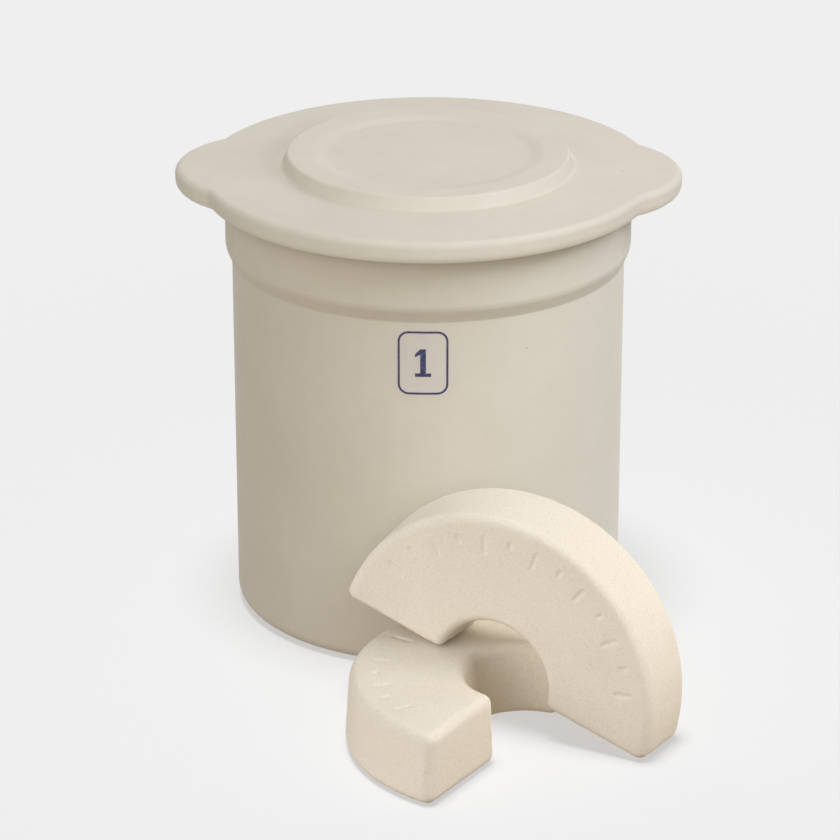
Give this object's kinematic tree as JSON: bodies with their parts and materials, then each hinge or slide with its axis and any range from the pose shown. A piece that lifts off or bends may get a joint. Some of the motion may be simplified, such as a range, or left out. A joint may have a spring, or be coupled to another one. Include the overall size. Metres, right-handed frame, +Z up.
{
  "type": "stoneware fermentation crock",
  "caption": "Straight stoneware pickle crock with a rim band, an eared lid with a raised disc, and half-ring weights lying loose in front.",
  "frame": {"origin": "middle of the crock's flat base, on the surface that it stands on", "axes": "+Z up along the crock's axis, -Y towards the viewer and the loose weights, +X to the viewer's right"},
  "size_m": [0.2388, 0.3438, 0.2246],
  "materials": {
    "glaze": "cream satin glaze on stoneware",
    "bisque": "bare, fine sandy stoneware",
    "mark": "cobalt blue capacity mark under the glaze"
  },
  "bodies": {
    "crock": {"crock": "glaze"},
    "lid": {"lid": "glaze"},
    "weight_flat": {"weight_flat": "bisque"},
    "weight_leaning": {"weight_leaning": "bisque"}
  },
  "joints": [
    {"name": "lid_lift", "type": "slide", "parent": "crock", "child": "lid", "axis": [0, 0, 1], "range_m": [0, 0.1]},
    {"name": "leaning_weight_lift", "type": "slide", "parent": "crock", "child": "weight_leaning", "axis": [0, 0, 1], "range_m": [0, 0.06]},
    {"name": "flat_weight_slide", "type": "slide", "parent": "crock", "child": "weight_flat", "axis": [-0.8, -0.6, 0], "range_m": [0, 0.1]}
  ]
}
